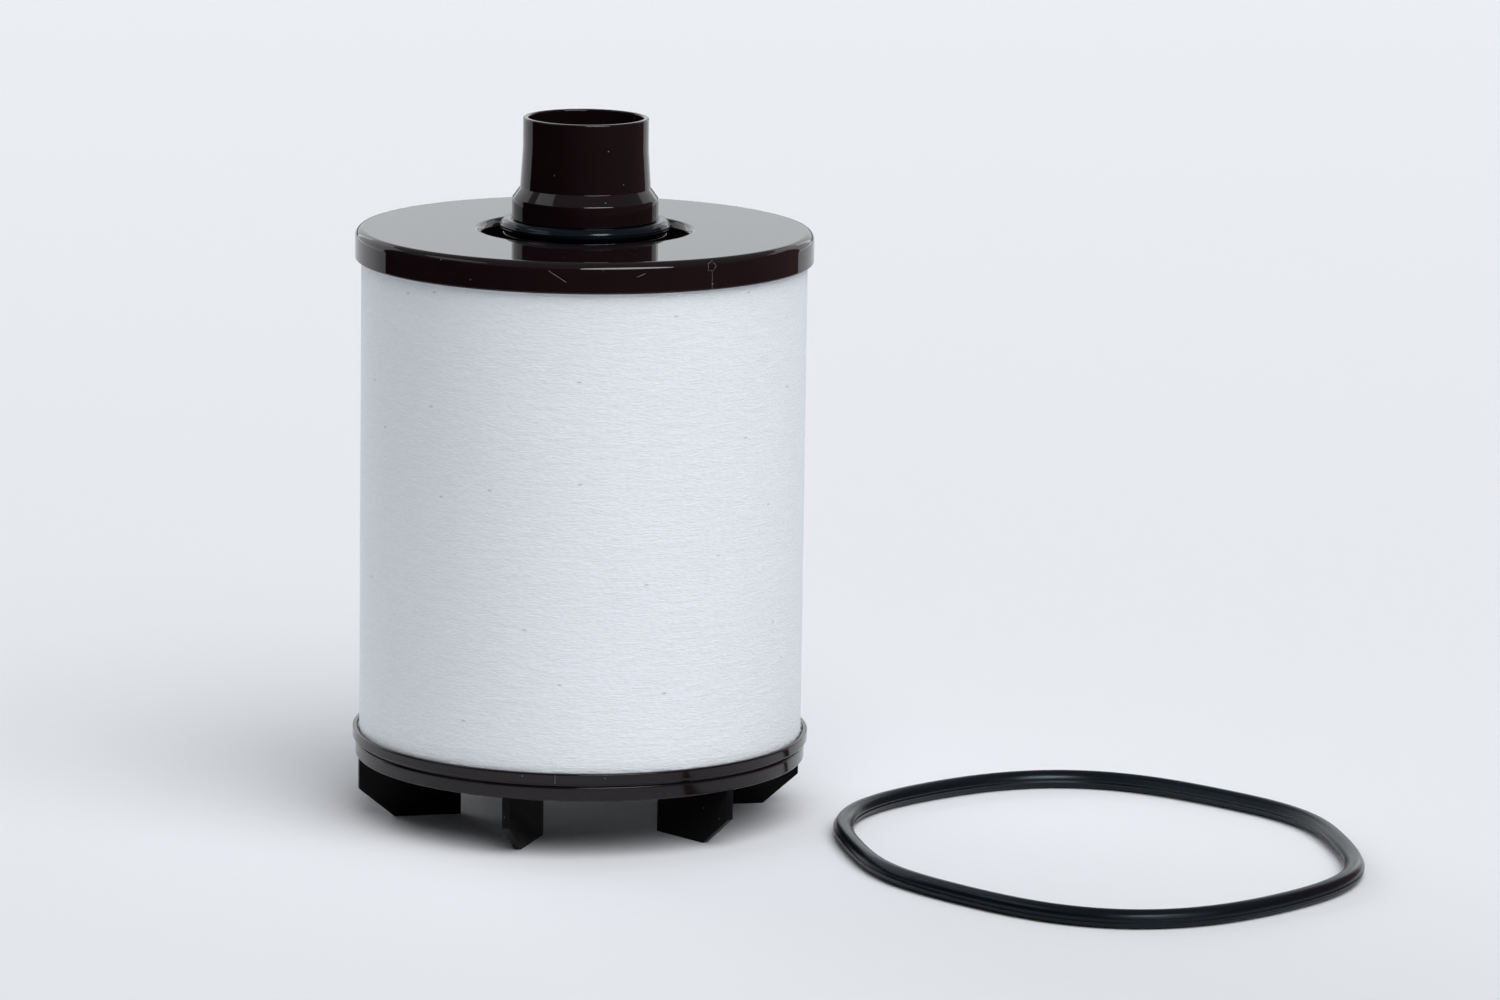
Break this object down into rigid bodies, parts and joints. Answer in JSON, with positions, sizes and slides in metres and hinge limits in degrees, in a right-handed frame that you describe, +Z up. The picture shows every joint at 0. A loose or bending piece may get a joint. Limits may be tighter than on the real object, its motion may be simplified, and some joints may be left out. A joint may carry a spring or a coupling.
{
  "type": "oil filter cartridge",
  "caption": "Cartridge oil filter element: white fleece sleeve between black end caps, outlet spigot with O-ring in a deep well, finned base, and a loose rubber seal ring.",
  "frame": {"origin": "on the element's axis, in the plane of the fin tips that it stands on", "axes": "+Z up along the element's axis, towards the outlet spigot; the loose seal ring lies on the +X side"},
  "size_m": [0.1843, 0.1294, 0.1294],
  "materials": {
    "cap_plastic": "moulded glass-filled nylon, near black with a brown cast, glossy",
    "outlet_rubber": "black moulded nitrile rubber, satin",
    "core_plastic": "black moulded nylon",
    "filter_paper": "resin-treated pleated filter paper, pale cream",
    "mesh_plastic": "pale woven plastic mesh",
    "clip_steel": "tinned steel strip",
    "hot_melt": "hot-melt adhesive, cream, waxy",
    "cage_plastic": "black moulded nylon",
    "fleece": "white polyester fleece with fine fibres lying round the sleeve",
    "potting": "cast polyurethane adhesive",
    "base_plastic": "moulded glass-filled nylon, black, satin",
    "seal_rubber": "black moulded nitrile rubber, satin, with a fine parting line"
  },
  "bodies": {
    "filter": {"top_cap": "cap_plastic", "outlet_pipe": "cap_plastic", "outlet_o_ring": "outlet_rubber", "centre_tube": "core_plastic", "pleated_media": "filter_paper", "media_support_mesh": "mesh_plastic", "pleat_seam_clip": "clip_steel", "spacer_band_lower": "hot_melt", "spacer_band_middle": "hot_melt", "spacer_band_upper": "hot_melt", "sleeve_cage": "cage_plastic", "fleece_sleeve": "fleece", "upper_potting": "potting", "lower_potting": "potting", "bottom_cup": "cap_plastic", "finned_base": "base_plastic"},
    "housing_seal": {"housing_seal": "seal_rubber"}
  },
  "joints": [
    {"name": "seal_lift", "type": "slide", "parent": "filter", "child": "housing_seal", "axis": [0, 0, 1], "range_m": [0, 0.14]}
  ]
}
